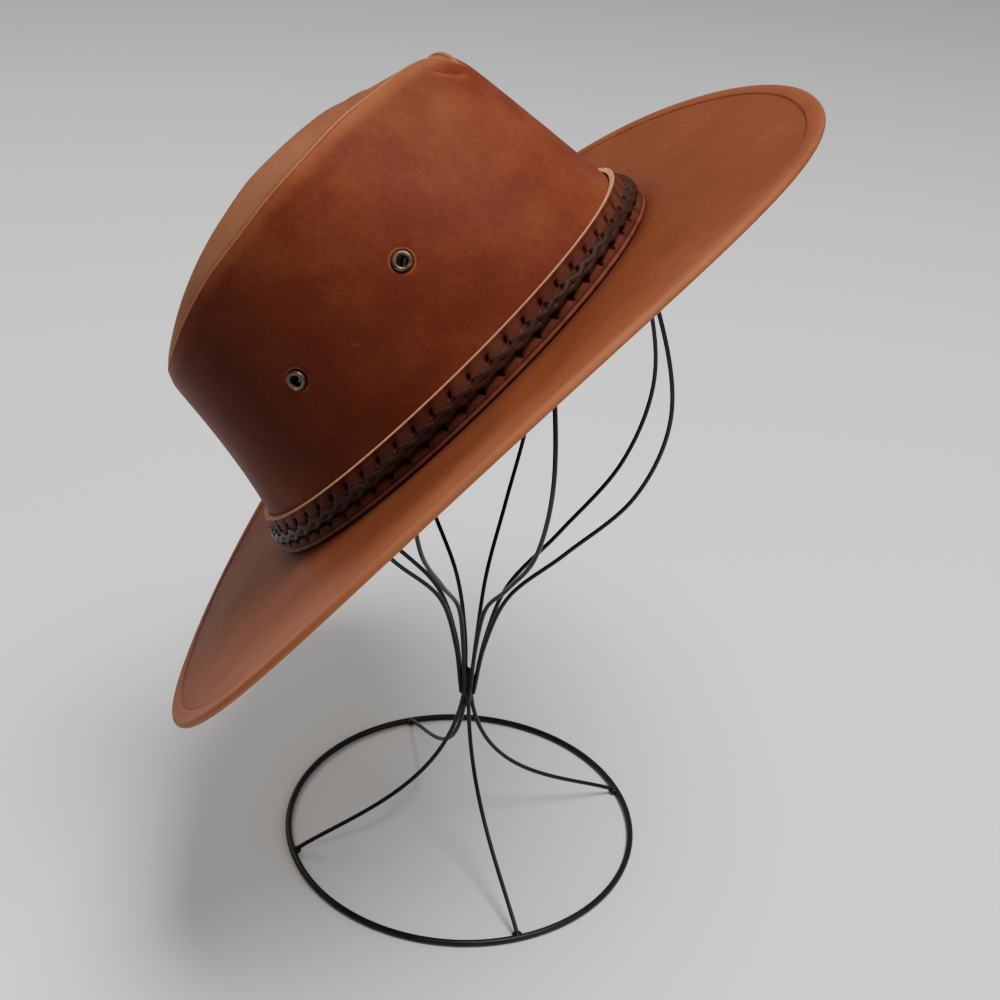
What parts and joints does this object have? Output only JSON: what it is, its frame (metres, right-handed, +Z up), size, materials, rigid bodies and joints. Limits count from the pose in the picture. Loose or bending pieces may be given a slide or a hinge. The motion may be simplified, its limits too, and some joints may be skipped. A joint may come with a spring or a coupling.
{
  "type": "leather bush hat on wire hat stand",
  "caption": "Wide-brimmed leather bush hat with creased crown, side eyelets and laced band, leaning on a black wire stand with a round base and hooped head.",
  "frame": {"origin": "middle of the underside of the whole object's box, on the floor that the stand's ring rests on", "axes": "+Z up; -Y toward the hat's right side, which the picture shows; the hat's front points up and toward +X"},
  "size_m": [0.248, 0.3344, 0.3641],
  "materials": {
    "crown_leather": "waxed, smooth, rubbed lighter on the ridges",
    "brim_leather": "waxed, smooth",
    "band_leather": "smooth, pale raw cut edge",
    "lacing_leather": "dark brown braided lace",
    "eyelet_metal": "antique",
    "stand_wire": "satin black"
  },
  "bodies": {
    "root": {"crown_side": "crown_leather", "crown_top": "crown_leather", "brim": "brim_leather", "hat_band": "band_leather", "band_lacing": "lacing_leather", "eyelet_right_front": "eyelet_metal", "eyelet_right_rear": "eyelet_metal", "eyelet_left_front": "eyelet_metal", "eyelet_left_rear": "eyelet_metal", "stand_base_ring": "stand_wire", "stand_leg_front": "stand_wire", "stand_leg_right": "stand_wire", "stand_leg_back": "stand_wire", "stand_leg_left": "stand_wire", "stand_hoop_1": "stand_wire", "stand_hoop_2": "stand_wire", "stand_hoop_3": "stand_wire", "stand_hoop_4": "stand_wire"}
  },
  "joints": []
}
